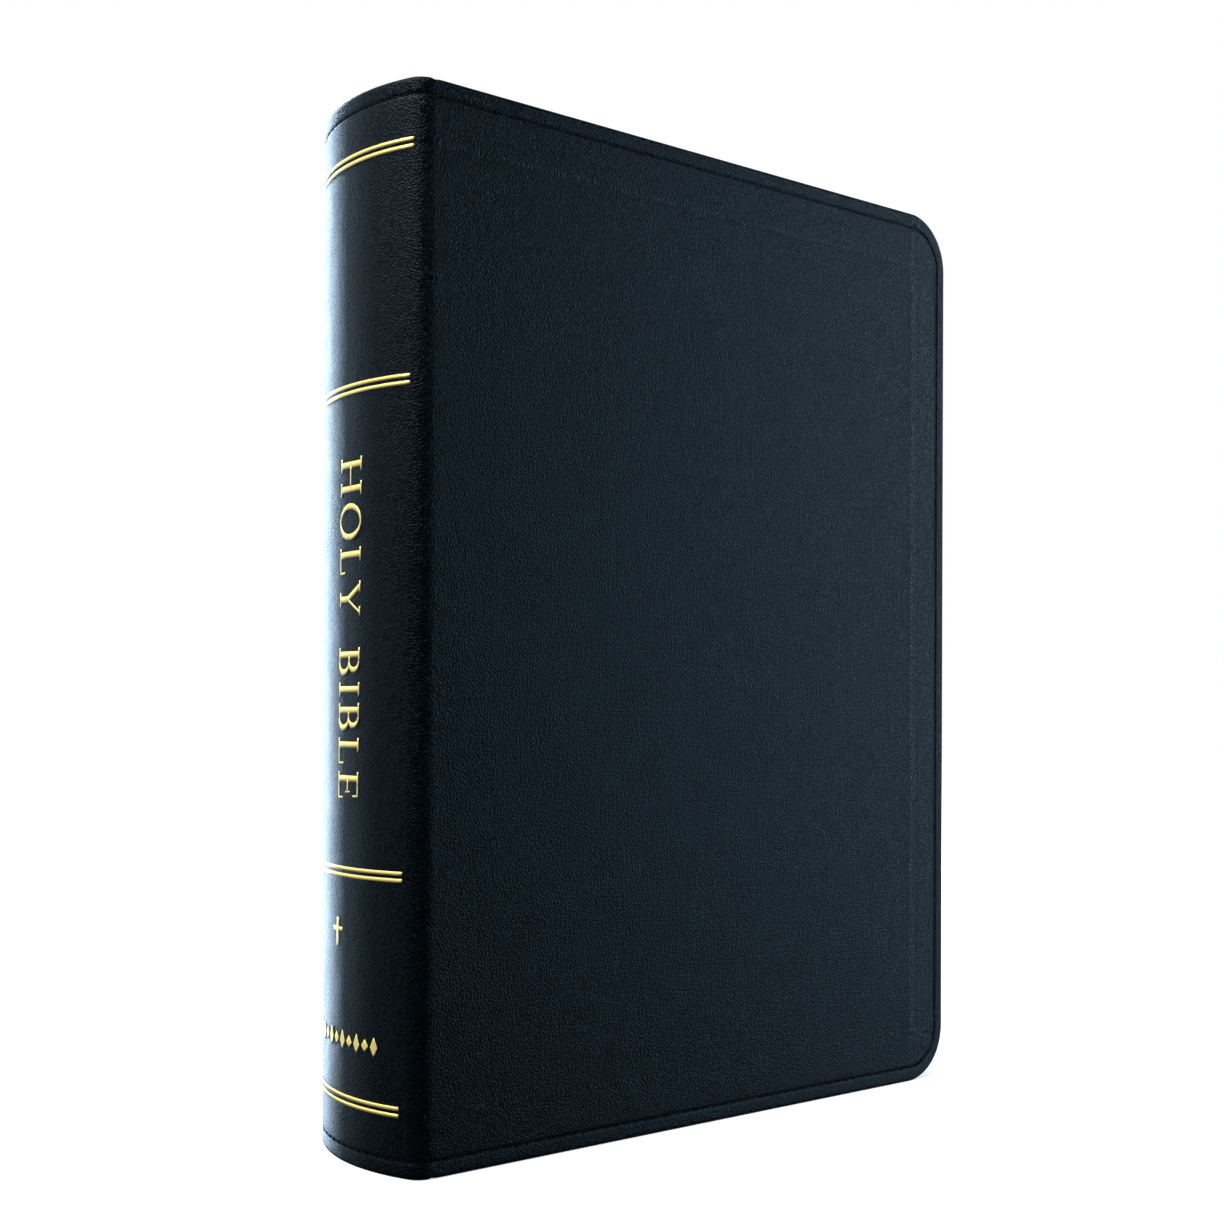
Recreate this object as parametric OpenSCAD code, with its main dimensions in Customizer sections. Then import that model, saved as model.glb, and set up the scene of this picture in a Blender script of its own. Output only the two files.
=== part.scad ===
// A leather-bound Bible standing on its tail, closed.
// +Z runs from tail to head, +Y from the spine to the fore-edge, +X out of the front cover.
// The origin is on the surface it stands on, under the middle of the closed book.

/* [Cover] */
// Height of the cover, tail to head
cover_h = 247; // [180:1:320]
// Width of each cover, from its hinge to the fore-edge
cover_w = 172.3; // [120:0.1:230]
// Thickness of the closed book, over both covers
book_t = 46.4; // [30:0.1:70]
// How far the rounded spine stands out behind the hinges
spine_round = 9.2; // [7:0.1:14]
// Radius of the spine's two shoulders, where it turns into the covers
shoulder_r = 5.5; // [4.5:0.1:6.5]
// Radius of the covers' two outer corners
corner_r = 14.5; // [6:0.5:25]

/* [Cover layers] */
// Thickness of the cover leather
leather_t = 0.9; // [0.6:0.05:1.3]
// Thickness of the flexible card in each cover
board_t = 0.8; // [0.5:0.05:1.2]
// Thickness of the pared leather that is turned in over the card
turn_in_t = 0.4; // [0.25:0.05:0.6]
// Width of the turned-in leather
turn_in_w = 12.7; // [9:0.1:18]
// Bare strip beside each hinge that the cover card leaves free to bend
hinge_gap = 5; // [3:0.5:9]
// Thickness of the card in the spine
stiffener_t = 0.6; // [0.3:0.05:0.8]
// How far the spine card stops short of each hinge
stiffener_setback = 2; // [1:0.5:4]

/* [Stitching] */
// Distance of the stitch line from the cover's edge
stitch_inset = 4; // [3:0.1:7]
// Distance from one stitch to the next
stitch_pitch = 3.2; // [2.5:0.1:5]
// Length of a stitch
stitch_l = 2.2; // [1.6:0.1:2.4]
// Width of the thread
stitch_w = 0.5; // [0.3:0.05:0.7]
// Width of the channel that the stitches lie in
channel_w = 0.8; // [0.75:0.05:1.2]
// Depth of that channel
channel_d = 0.3; // [0.2:0.05:0.35]

/* [Gilding] */
// Width of one gilt rule
rule_w = 0.9; // [0.5:0.1:1.5]
// Distance between the two rules of a pair, centre to centre
rule_pitch = 1.6; // [1.6:0.1:3]
// Length of a rule round the spine, from its middle to either end
rule_reach = 20; // [10:0.5:22]
// Sideways lean of the gilding, for each unit of height
gilding_lean = 0.016; // [-0.02:0.002:0.02]
// Height of the outer pairs' centres from head and tail
outer_rule_z = 14.9; // [10:0.1:30]
// Height of the inner pairs' centres from head and tail
inner_rule_z = 67.7; // [45:0.1:80]
// Depth that the foil is pressed into the leather
foil_d = 0.1; // [0.05:0.05:0.2]

/* [Pages] */
// Margin of the cover beyond the pages at head and tail
head_square = 4; // [2.5:0.5:7]
// Margin of the cover beyond the pages at the fore-edge
fore_square = 4.5; // [2.5:0.5:8]
// Radius of the pages' two outer corners
page_corner_r = 10; // [3:0.5:20]
// Sewn sections in each of the 17 groups
sections_per_group = 3; // [1:1:4]
// Air between one section and the next
section_gap = 0.04; // [0.02:0.01:0.1]
// Thickness of an endpaper
endpaper_t = 0.15; // [0.1:0.05:0.25]
// Air between the leaves and their folds at the gutter
gutter_gap = 0.05; // [0.02:0.01:0.1]
// Air between each flyleaf and its neighbours
leaf_play = 0.05; // [0.02:0.01:0.1]
// Margin of each pastedown inside the cover's edge
pastedown_margin = 6.5; // [5.5:0.5:8]

/* [Spine of the pages] */
// Thickness of the sewing thread
sewing_thread_t = 0.35; // [0.25:0.05:0.5]
// Number of sewing stations
sewing_stations = 8; // [4:1:12]
// Thickness of the glue between the folds and the threads
glue_t = 0.05; // [0.03:0.01:0.1]
// Thickness of the mull glued over the folds
mull_t = 0.3; // [0.2:0.05:0.4]
// Thickness of the paper lining over the mull
spine_paper_t = 0.2; // [0.1:0.05:0.25]
// How far mull and lining stop short of the pages' head and tail
mull_setback = 14; // [10:1:25]
// Width of the head and tail bands across the pages
band_w = 1.8; // [1:0.1:2]
// Height that the bands stand above the pages
band_h = 2; // [1:0.1:2.4]

/* [Hidden] */
$fn = 96;
eps = 0.01;

// The tree of nodes
groups_per_side = 8;

// Clearances: round the card in its pocket, and under and over a stitch in its channel
board_clear = 0.2;
stitch_clear = 0.03;
stitch_floor = channel_d - stitch_clear;
stitch_h = channel_d - 2 * stitch_clear;

// Colours of the materials
leather_black = [0.04, 0.05, 0.07];
card_grey = [0.55, 0.52, 0.47];
thread_black = [0.02, 0.02, 0.03];
gilt = [0.83, 0.68, 0.32];
endpaper_black = [0.09, 0.09, 0.10];
page_cream = [0.93, 0.90, 0.80];
kraft_brown = [0.66, 0.50, 0.33];
cotton_white = [0.90, 0.88, 0.82];

// The closed book's outline, seen from above
half_t = book_t / 2;
hinge_y = (spine_round - cover_w) / 2;
fore_y = hinge_y + cover_w;

// A cover's layers, from outside to inside
board_x = half_t - leather_t;
turn_in_x = board_x - board_t;
inner_x = turn_in_x - turn_in_t;
flyleaf_x = inner_x - endpaper_t - leaf_play;
block_half = flyleaf_x - endpaper_t - leaf_play;
cover_stack = half_t - block_half;

// The spine is a three-centred arch: two shoulder arcs and one flat arc that meets both smoothly
crown_r = (pow(half_t, 2) + pow(spine_round, 2) - 2 * half_t * shoulder_r)
    / (2 * (spine_round - shoulder_r));
shoulder_x = half_t - shoulder_r;
crown_y = hinge_y - spine_round + crown_r;
crown_angle = atan2(shoulder_x, crown_y - hinge_y);
crown_len = crown_r * crown_angle * PI / 180;
arch_half_len = crown_len + shoulder_r * (90 - crown_angle) * PI / 180;

// Depth of an arch drawn a given inset within the spine, behind the hinges, at a place across it
function arch_depth(x, inset) =
    let (ax = abs(x), r = shoulder_r - inset, big = crown_r - inset)
    ax < big * sin(crown_angle)
        ? sqrt(pow(big, 2) - pow(ax, 2)) - (crown_y - hinge_y)
        : sqrt(max(0, pow(r, 2) - pow(max(0, ax - shoulder_x), 2)));

// Turn of the spine's surface at a length along it from the middle
function arch_turn(s) =
    sign(s) * (abs(s) < crown_len
        ? abs(s) / crown_r * 180 / PI
        : crown_angle + (abs(s) - crown_len) / shoulder_r * 180 / PI);

// The page block: equal sections, whose backs follow the arch and whose fore-edges repeat it
section_count = (2 * groups_per_side + 1) * sections_per_group;
section_pitch = 2 * block_half / section_count;
thread_inset = cover_stack + sewing_thread_t;
fold_inset = thread_inset + glue_t;
page_z0 = head_square;
page_z1 = cover_h - head_square;
page_fore_y = fore_y - fore_square;
function section_x(i) = -block_half + i * section_pitch;
function fold_depth(i) = min(arch_depth(section_x(i), fold_inset), arch_depth(section_x(i + 1), fold_inset));

// Turns along the arch from hinge to hinge, stepped finely on its shoulders
crown_steps = 10;
shoulder_steps = 8;
function even_turns(from, to, steps) = [for (i = [0:steps]) from + (to - from) * i / steps];
function inner_turns(from, to, steps) = [for (i = [1:steps - 1]) from + (to - from) * i / steps];
full_turns = concat(
    even_turns(-90, -crown_angle, shoulder_steps),
    inner_turns(-crown_angle, crown_angle, 2 * crown_steps),
    even_turns(crown_angle, 90, shoulder_steps));
function arch_at(turn, inset) =
    abs(turn) <= crown_angle
        ? [(crown_r - inset) * sin(turn), crown_y - (crown_r - inset) * cos(turn)]
        : [sign(turn) * shoulder_x + (shoulder_r - inset) * sin(turn),
            hinge_y - (shoulder_r - inset) * cos(turn)];

// One layer of the spine, between two insets, from z0 to z1
module arch_layer(inset0, inset1, z0, z1, turns = full_turns) {
    translate([0, 0, z0])
        linear_extrude(z1 - z0)
            polygon(concat(
                [for (turn = turns) arch_at(turn, inset0)],
                [for (i = [len(turns) - 1:-1:0]) arch_at(turns[i], inset1)]));
}

// A leaf's outline in Y and Z: square at the hinge, rounded at the two outer corners
module leaf_outline(y0, y1, z0, z1, r) {
    translate([y0, z0]) square([y1 - r - y0, z1 - z0]);
    translate([y1 - r - eps, z0 + r]) square([r + eps, z1 - z0 - 2 * r]);
    for (z = [z0 + r, z1 - r])
        translate([y1 - r, z]) circle(r);
}

// The cover's outline, drawn inside its edge by an inset and starting at y0
module cover_outline(inset, y0 = hinge_y) {
    leaf_outline(y0, fore_y - inset, inset, cover_h - inset, max(corner_r - inset, 1));
}

// Stands a flat outline up as a sheet from x0 to x1
module sheet(x0, x1) {
    translate([x0, 0, 0])
        rotate([90, 0, 90])
            linear_extrude(x1 - x0)
                children();
}

// Spine

module spine_leather() {
    fold_in = leather_t + stiffener_t + turn_in_t;
    color(leather_black)
        difference() {
            union() {
                arch_layer(0, leather_t, 0, cover_h);
                for (z = [0, cover_h - leather_t])
                    arch_layer(leather_t - eps, fold_in, z, z + leather_t);
                for (z = [0, cover_h - turn_in_w])
                    arch_layer(leather_t + stiffener_t, fold_in, z, z + turn_in_w);
            }
            for (z = [stitch_inset, cover_h - stitch_inset])
                arch_layer(-1, channel_d, z - channel_w / 2, z + channel_w / 2);
            rule_strips(-1);
        }
}

module spine_stiffener() {
    color(card_grey)
        intersection() {
            arch_layer(leather_t, leather_t + stiffener_t, leather_t, cover_h - leather_t);
            translate([-half_t, hinge_y - 2 * spine_round, 0])
                cube([book_t, 2 * spine_round - stiffener_setback, cover_h]);
        }
}

// Stitches that cross the spine at head and tail, laid along its curve
spine_stitches = 2 * floor((arch_half_len - stitch_pitch / 2) / stitch_pitch) + 1;
module spine_stitching() {
    first = -(spine_stitches - 1) / 2;
    color(thread_black)
        for (z = [stitch_inset, cover_h - stitch_inset], i = [0:spine_stitches - 1])
            let (turn = arch_turn((first + i) * stitch_pitch), at = arch_at(turn, stitch_floor))
                translate([at[0], at[1], z])
                    rotate([0, 0, turn])
                        translate([-stitch_l / 2, -stitch_h, -stitch_w / 2])
                            cube([stitch_l, stitch_h, stitch_w]);
}

// Each rule spans the spine between two turns of the arch, and all of them lean a little together
rule_steps = 24;
rule_heights = [for (pair = [outer_rule_z, inner_rule_z], side = [-1, 1], end = [0, 1])
    end * cover_h + (1 - 2 * end) * pair + side * rule_pitch / 2];
function rule_lean(z) = (z - cover_h / 2) * gilding_lean;
function rule_turns(z) = even_turns(
    arch_turn(rule_lean(z) - rule_reach), arch_turn(rule_lean(z) + rule_reach), rule_steps);
module rule_strips(top_inset) {
    for (z = rule_heights)
        arch_layer(top_inset, foil_d, z - rule_w / 2, z + rule_w / 2, rule_turns(z));
}

module gilt_rules() {
    color(gilt) rule_strips(0);
}

// Back of the page block

module spine_paper_lining() {
    color(kraft_brown)
        arch_layer(cover_stack - mull_t - spine_paper_t, cover_stack - mull_t,
            page_z0 + mull_setback, page_z1 - mull_setback);
}

module spine_mull() {
    color(cotton_white)
        arch_layer(cover_stack - mull_t, cover_stack, page_z0 + mull_setback, page_z1 - mull_setback);
}

module end_band(z0) {
    color(cotton_white)
        arch_layer(cover_stack, cover_stack + band_w, z0, z0 + band_h);
}

module sewing_threads() {
    step = (page_z1 - page_z0 - 2 * mull_setback) / (sewing_stations + 1);
    color(cotton_white)
        for (i = [1:sewing_stations])
            arch_layer(cover_stack, thread_inset, page_z0 + mull_setback + i * step,
                page_z0 + mull_setback + i * step + sewing_thread_t);
}

module section_folds() {
    color(page_cream)
        for (i = [0:section_count - 1])
            if (fold_depth(i) > 2 * gutter_gap)
                translate([section_x(i) + section_gap / 2, hinge_y - fold_depth(i), page_z0])
                    cube([section_pitch - section_gap, fold_depth(i) - gutter_gap, page_z1 - page_z0]);
}

// Pages

// The leaves of one group of sections; group 0 lies against the back flyleaf
module leaves(group) {
    color(page_cream)
        for (i = [group * sections_per_group:(group + 1) * sections_per_group - 1])
            sheet(section_x(i) + section_gap / 2, section_x(i + 1) - section_gap / 2)
                leaf_outline(hinge_y, page_fore_y - fold_depth(i), page_z0, page_z1, page_corner_r);
}

// A side's k-th group, counted from its cover inwards
module side_leaves(side, k) {
    leaves(side > 0 ? 2 * groups_per_side + 1 - k : k - 1);
}

module flyleaf() {
    color(endpaper_black)
        sheet(flyleaf_x - endpaper_t, flyleaf_x)
            leaf_outline(hinge_y, page_fore_y, page_z0, page_z1, page_corner_r);
}

// Covers, drawn as the front one

module cover_leather() {
    color(leather_black)
        difference() {
            sheet(inner_x, half_t) cover_outline(0);
            sheet(turn_in_x, board_x) cover_outline(leather_t, hinge_y - 1);
            sheet(inner_x - 1, turn_in_x + eps) cover_outline(turn_in_w, hinge_y - 1);
            sheet(half_t - channel_d, half_t + 1)
                difference() {
                    cover_outline(stitch_inset - channel_w / 2, hinge_y - 1);
                    cover_outline(stitch_inset + channel_w / 2, hinge_y - 2);
                }
        }
}

module cover_board() {
    color(card_grey)
        sheet(turn_in_x, board_x) cover_outline(leather_t + board_clear, hinge_y + hinge_gap);
}

// A sheet glued over the turn-ins, whose middle sinks to the card between them
module pastedown() {
    color(endpaper_black) {
        sheet(inner_x - endpaper_t, inner_x) cover_outline(pastedown_margin);
        sheet(inner_x - eps, turn_in_x) cover_outline(turn_in_w + board_clear, hinge_y + hinge_gap);
    }
}

// The stitch line runs along head, outer edge and tail, with a quarter turn at each corner
line_r = corner_r - stitch_inset;
line_top = cover_w - corner_r;
line_arc = line_r * PI / 2;
line_side = cover_h - 2 * corner_r;
line_len = 2 * line_top + 2 * line_arc + line_side;

// Place and turn of a point on the stitch line, [y, z, turn], at a length from its start at the tail
function line_point(s) =
    let (a = s - line_top, b = a - line_arc, c = b - line_side, e = c - line_arc)
    a < 0 ? [hinge_y + s, stitch_inset, 0]
    : b < 0 ? corner_point(corner_r, -90 + a / line_arc * 90)
    : c < 0 ? [fore_y - stitch_inset, corner_r + b, 90]
    : e < 0 ? corner_point(cover_h - corner_r, c / line_arc * 90)
    : [fore_y - corner_r - e, cover_h - stitch_inset, 180];
function corner_point(z, turn) =
    [fore_y - corner_r + line_r * cos(turn), z + line_r * sin(turn), turn + 90];

module cover_stitching() {
    count = floor(line_len / stitch_pitch);
    first = (line_len - (count - 1) * stitch_pitch) / 2;
    color(thread_black)
        for (i = [0:count - 1])
            let (at = line_point(first + i * stitch_pitch))
                translate([half_t - stitch_floor, at[0], at[1]])
                    rotate([at[2], 0, 0])
                        translate([0, -stitch_l / 2, -stitch_w / 2])
                            cube([stitch_h, stitch_l, stitch_w]);
}

module at_back() {
    mirror([1, 0, 0]) children();
}

spine_leather();
spine_stiffener();
spine_stitching();
gilt_rules();
spine_paper_lining();
spine_mull();
end_band(page_z1);  // headband
end_band(page_z0 - band_h);  // tailband
sewing_threads();
section_folds();
leaves(groups_per_side);  // middle_sections
cover_leather();  // front_cover_leather
cover_board();  // front_cover_board
cover_stitching();  // front_stitching
pastedown();  // front_pastedown
flyleaf();  // front_flyleaf
side_leaves(1, 1);  // front_sections_1
side_leaves(1, 2);  // front_sections_2
side_leaves(1, 3);  // front_sections_3
side_leaves(1, 4);  // front_sections_4
side_leaves(1, 5);  // front_sections_5
side_leaves(1, 6);  // front_sections_6
side_leaves(1, 7);  // front_sections_7
side_leaves(1, 8);  // front_sections_8
at_back() cover_leather();  // back_cover_leather
at_back() cover_board();  // back_cover_board
at_back() cover_stitching();  // back_stitching
at_back() pastedown();  // back_pastedown
at_back() flyleaf();  // back_flyleaf
side_leaves(-1, 1);  // back_sections_1
side_leaves(-1, 2);  // back_sections_2
side_leaves(-1, 3);  // back_sections_3
side_leaves(-1, 4);  // back_sections_4
side_leaves(-1, 5);  // back_sections_5
side_leaves(-1, 6);  // back_sections_6
side_leaves(-1, 7);  // back_sections_7
side_leaves(-1, 8);  // back_sections_8
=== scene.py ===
# %% [markdown]
# # A leather-bound Bible
# A limp-bound Bible is a block of sewn pages inside one soft leather cover. The cover's edge is
# turned in over thin card and stitched all round, and the spine is stamped with gold foil.
# This lesson builds each part in the order that a binder would name them: leather, thread,
# foil, pages, endpapers and bands. Every size comes from the book's own measurements.

# %% The measured book
import math

import bpy
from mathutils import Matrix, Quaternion, Vector, noise


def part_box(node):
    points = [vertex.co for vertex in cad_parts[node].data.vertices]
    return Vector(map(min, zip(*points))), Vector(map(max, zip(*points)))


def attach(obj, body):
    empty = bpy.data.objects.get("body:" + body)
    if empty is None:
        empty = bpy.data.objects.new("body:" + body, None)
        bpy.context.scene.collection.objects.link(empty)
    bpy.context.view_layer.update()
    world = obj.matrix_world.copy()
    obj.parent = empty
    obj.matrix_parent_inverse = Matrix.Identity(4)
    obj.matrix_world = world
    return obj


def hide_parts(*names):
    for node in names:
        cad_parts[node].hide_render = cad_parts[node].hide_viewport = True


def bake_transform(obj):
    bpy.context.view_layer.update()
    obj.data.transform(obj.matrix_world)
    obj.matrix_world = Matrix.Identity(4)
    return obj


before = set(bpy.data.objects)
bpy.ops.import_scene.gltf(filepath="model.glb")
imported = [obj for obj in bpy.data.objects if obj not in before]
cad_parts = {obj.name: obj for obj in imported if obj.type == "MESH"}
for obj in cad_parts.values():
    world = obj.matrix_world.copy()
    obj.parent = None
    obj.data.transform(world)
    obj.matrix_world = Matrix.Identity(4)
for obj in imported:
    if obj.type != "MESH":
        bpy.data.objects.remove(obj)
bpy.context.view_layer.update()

MM = 0.001


def size_mm(node):
    """Lowest and highest corner of a measured part, in millimetres."""
    low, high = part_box(node)
    return low / MM, high / MM


cover_low, cover_high = size_mm("front_cover_leather")
spine_low, _ = size_mm("spine_leather")
leaf_low, leaf_high = size_mm("front_flyleaf")
COVER_H = cover_high.z
HALF_T = cover_high.x
HINGE_Y = cover_low.y
FORE_Y = cover_high.y
SPINE_ROUND = HINGE_Y - spine_low.y
print("cover", round(COVER_H, 1), "high;", round(FORE_Y - HINGE_Y, 1), "wide; book",
      round(2 * HALF_T, 1), "thick; spine stands out", round(SPINE_ROUND, 1), "mm")

# %% [markdown]
# ## Three helpers
# A mesh is a list of points and a list of faces that name those points. `build` makes one from
# millimetres, and it also stores where each point lay on the flat, uncut material. Patterns read
# that place, so grain and print bend with the leather and the pages instead of sliding.
# Colours are picked as hex values, as on any screen. Shaders mix light, so they need linear
# values, and `colour` makes the change. `add` makes one shader node with its links.

# %% Helpers
def build(name, points, faces, places, materials, kinds=None):
    """One smooth mesh object from points in mm, with each point's place on the flat material."""
    mesh = bpy.data.meshes.new(name)
    mesh.from_pydata([Vector(p) * MM for p in points], [], faces)
    cut = mesh.attributes.new("cut_mm", "FLOAT_VECTOR", "POINT")
    cut.data.foreach_set("vector", [c for place in places for c in place])
    for material in materials:
        mesh.materials.append(material)
    if kinds:
        mesh.polygons.foreach_set("material_index", kinds)
    mesh.shade_smooth()
    piece = bpy.data.objects.new(name, mesh)
    bpy.context.collection.objects.link(piece)
    return piece


def colour(hex_value):
    """An sRGB hex colour as the linear values that shaders mix."""
    parts = [int(hex_value[i:i + 2], 16) / 255 for i in (1, 3, 5)]
    linear = [c / 12.92 if c <= 0.04045 else ((c + 0.055) / 1.055) ** 2.4 for c in parts]
    return (*linear, 1)


def add(tree, kind, inputs=None, **settings):
    """Adds a node. Each input is a value, or another node's output to link."""
    node = tree.nodes.new("ShaderNode" + kind)
    for name, value in settings.items():
        setattr(node, name, value)
    for name, value in (inputs or {}).items():
        if isinstance(value, bpy.types.NodeSocket):
            tree.links.new(value, node.inputs[name])
        else:
            node.inputs[name].default_value = value
    return node


def new_material(name):
    """An empty node tree with its output, ready for one surface shader."""
    material = bpy.data.materials.new(name)
    material.use_nodes = True
    material.node_tree.nodes.clear()
    return material, material.node_tree


def smooth(t):
    """0 below 0, 1 above 1, and an even S between them."""
    t = min(max(t, 0), 1)
    return t * t * (3 - 2 * t)


def dent(distance, width):
    """A soft hollow, deepest where the distance is 0."""
    return math.exp(-(distance / width) ** 2)


print("black leather as linear colour", [round(c, 4) for c in colour("#10161B")])

# %% [markdown]
# ## The camera
# The book is seen from the side of its spine, from low down and quite near. The lens is a mild
# telephoto. A small vertical shift keeps the book's upright lines nearly parallel, as an
# architect's camera does, instead of tilting the camera up.

# %% Camera
camera = bpy.data.objects.new("camera", bpy.data.cameras.new("camera"))
bpy.context.collection.objects.link(camera)
camera.location = (0.33655, -0.27304, 0.10514)
CAMERA_ROLL = 0.003
forward = Vector((-0.7808, 0.6247, -0.0004))
camera.rotation_mode = "QUATERNION"
camera.rotation_quaternion = forward.to_track_quat("-Z", "Y") @ Quaternion((0, 0, 1), CAMERA_ROLL)
camera.data.sensor_width = 36
camera.data.lens = 47.86
camera.data.shift_x = -0.0238
camera.data.shift_y = 0.0816
bpy.context.scene.camera = camera
BOOK_MIDDLE = Vector((0, 0, 0.12))
print("camera", round((camera.location - BOOK_MIDDLE).length, 3), "m from the book")

# %% [markdown]
# ## The hide
# The leather is one hide that wraps back cover, spine and front cover. On the real book the
# spine isn't a half circle: a nearly flat curve crosses the back of the pages, and a tight one
# turns it into each cover. Two functions follow that curve. `hide_point` takes a length round
# the book from the middle of the spine, and returns the place there, so the leather, its
# stitches and the gold can all be laid out flat and then wrapped.

# %% The curve of the spine
SHOULDER_R = 5.5
CROWN_R = (HALF_T ** 2 + SPINE_ROUND ** 2 - 2 * HALF_T * SHOULDER_R) / (2 * (SPINE_ROUND - SHOULDER_R))
CROWN_Y = HINGE_Y - SPINE_ROUND + CROWN_R
SHOULDER_X = HALF_T - SHOULDER_R
CROWN_TURN = math.atan2(SHOULDER_X, CROWN_Y - HINGE_Y)
CROWN_LENGTH = CROWN_R * CROWN_TURN
ARCH_LENGTH = CROWN_LENGTH + SHOULDER_R * (math.pi / 2 - CROWN_TURN)


def arch_at(turn, depth):
    """X and Y of the spine where its face has turned so far, at a depth under it."""
    if abs(turn) <= CROWN_TURN:
        r = CROWN_R - depth
        return r * math.sin(turn), CROWN_Y - r * math.cos(turn)
    r = SHOULDER_R - depth
    return (math.copysign(SHOULDER_X, turn) + r * math.sin(turn), HINGE_Y - r * math.cos(turn))


def arch_turn(length):
    """Turn of the spine's face at a length from its middle."""
    if abs(length) < CROWN_LENGTH:
        return length / CROWN_R
    return math.copysign(CROWN_TURN + (abs(length) - CROWN_LENGTH) / SHOULDER_R, length)


def arch_length(turn):
    """Length from the spine's middle to where its face has turned so far."""
    if abs(turn) < CROWN_TURN:
        return turn * CROWN_R
    return math.copysign(CROWN_LENGTH + (abs(turn) - CROWN_TURN) * SHOULDER_R, turn)


def hide_point(length, depth, z):
    """A place on the book: a length round it from the spine's middle, a depth in, and a height."""
    beyond = abs(length) - ARCH_LENGTH
    if beyond < 0:
        x, y = arch_at(arch_turn(length), depth)
    else:
        x, y = math.copysign(HALF_T - depth, length), HINGE_Y + beyond
    return Vector((x, y, z))


print("spine: crown radius", round(CROWN_R, 1), "mm, half its length round", round(ARCH_LENGTH, 1), "mm")

# %% [markdown]
# ## The surface of the leather
# The leather isn't flat. Its edge rolls over the card, the stitch line pulls a channel into it,
# the edge of the turned-in leather shows through as a faint line, and each corner has small
# pleats where the turn-in was gathered. The limp outer strip also falls away a little towards
# the fore-edge. One function adds these up in real depth. The shape
# then catches light by itself, which bump alone would not do along the outline.

# %% Depth of the leather's face
EDGE_R = 1.05
EDGE_T = 2 * EDGE_R
CORE_DEPTH = 1.7
CORNER_R = 14.5
STITCH_INSET = 4.0
TURN_IN = 12.7
PLEAT_TURNS = [math.radians(a) for a in (14, 31, 49, 66, 79)]
PLEAT_INSET = 7.6
LIMP_SLOPE = 0.055


def rolled(d):
    """Depth of the rounded edge at a distance d in from it."""
    return EDGE_R - math.sqrt(EDGE_R ** 2 - max(EDGE_R - d, 0) ** 2)


def outer_depth(length, z, d, turn=None):
    """Depth of the outer face, at a distance d in from the free edge."""
    to_fore = ARCH_LENGTH + FORE_Y - HINGE_Y - abs(length)
    limp = LIMP_SLOPE * max(TURN_IN + 1 - to_fore, 0) * smooth((TURN_IN + 1 - to_fore) / 3)
    channel = 0.3 * dent(d - STITCH_INSET, 0.34) + 0.06 * dent(d - STITCH_INSET, 1.4)
    line = (0.02 + 0.1 * dent(to_fore - TURN_IN, 3)) * dent(d - TURN_IN, 0.8)
    broad = noise.noise(Vector((length / 42, z / 60, 3.1)))
    fine = noise.noise(Vector((length / 17, z / 30, 7.7)))
    sway = broad + 0.5 * fine
    wave = 0.06 * (1 + sway / 1.5) * smooth(d / 12)
    pleats = 0
    if turn is not None:
        pleats = 0.2 * dent(d - PLEAT_INSET, 2.4) * max(dent(turn - p, 0.06) for p in PLEAT_TURNS)
    return rolled(d) + channel + line + wave + pleats + limp


def inner_depth(d):
    """Depth of the inner face: the turned-in leather, then the bare card inside it."""
    groove = 0.15 * dent(d - STITCH_INSET, 0.5)
    return EDGE_T - rolled(d) - groove - (EDGE_T - CORE_DEPTH) * smooth((d - TURN_IN + 0.3) / 0.6)


print("rolled edge", EDGE_R, "mm radius; stitch channel", round(outer_depth(0, 100, STITCH_INSET), 2),
      "mm deep")

# %% [markdown]
# ## The leather skins
# Each cover's skin is a grid of points with an outer and an inner face, welded along the free
# edges so that it closes. Grid lines crowd together where the shape changes: at the rolled
# edge, the stitch channel and the hinge. At a corner the square grid is pushed into a quarter
# disc, so the lines follow the round edge and every face stays four-sided. A subdivision
# modifier then rounds it all. The book needs three skins, since each cover turns on its own,
# but the three share one pattern of points at the hinges, so no seam shows.

# %% Grid lines
EDGE_LINES = [EDGE_R * (1 - math.cos(math.radians(a))) for a in (0, 24, 46, 68, 90)]
EDGE_LINES += [1.6, 2.4, 3.0, 3.4, 3.7, 4.0, 4.3, 4.6, 5.0, 5.6, 6.4, 7.2, 8.0, 8.9, 9.8, 10.8, 11.6]
EDGE_LINES += [12.2, 12.7, 13.2, 13.8, CORNER_R]


def spread(start, end, step):
    """Even places from start to end, about a step apart, without the two ends."""
    count = max(1, round((end - start) / step))
    return [start + (end - start) * i / count for i in range(1, count)]


Z_LINES = (EDGE_LINES + spread(CORNER_R, COVER_H - CORNER_R, 4.4)
           + [COVER_H - d for d in reversed(EDGE_LINES)])
HINGE_LINES = [HINGE_Y + d for d in (0, 0.3, 1, 2, 3, 4, 5, 6, 7, 8, 9, 10, 11, 12, 13.5, 16)]
Y_LINES = (HINGE_LINES + spread(HINGE_LINES[-1], FORE_Y - CORNER_R, 4.4)
           + [FORE_Y - d for d in reversed(EDGE_LINES)])
SPINE_TURNS = ([-math.pi / 2, math.radians(-89.5)]
               + spread(math.radians(-89.5), -CROWN_TURN, math.radians(4))
               + [-CROWN_TURN] + spread(-CROWN_TURN, CROWN_TURN, math.radians(1.6)) + [CROWN_TURN]
               + spread(CROWN_TURN, math.radians(89.5), math.radians(4))
               + [math.radians(89.5), math.pi / 2])
print("cover grid", len(Y_LINES), "by", len(Z_LINES), "; spine grid", len(SPINE_TURNS), "by", len(Z_LINES))


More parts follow.
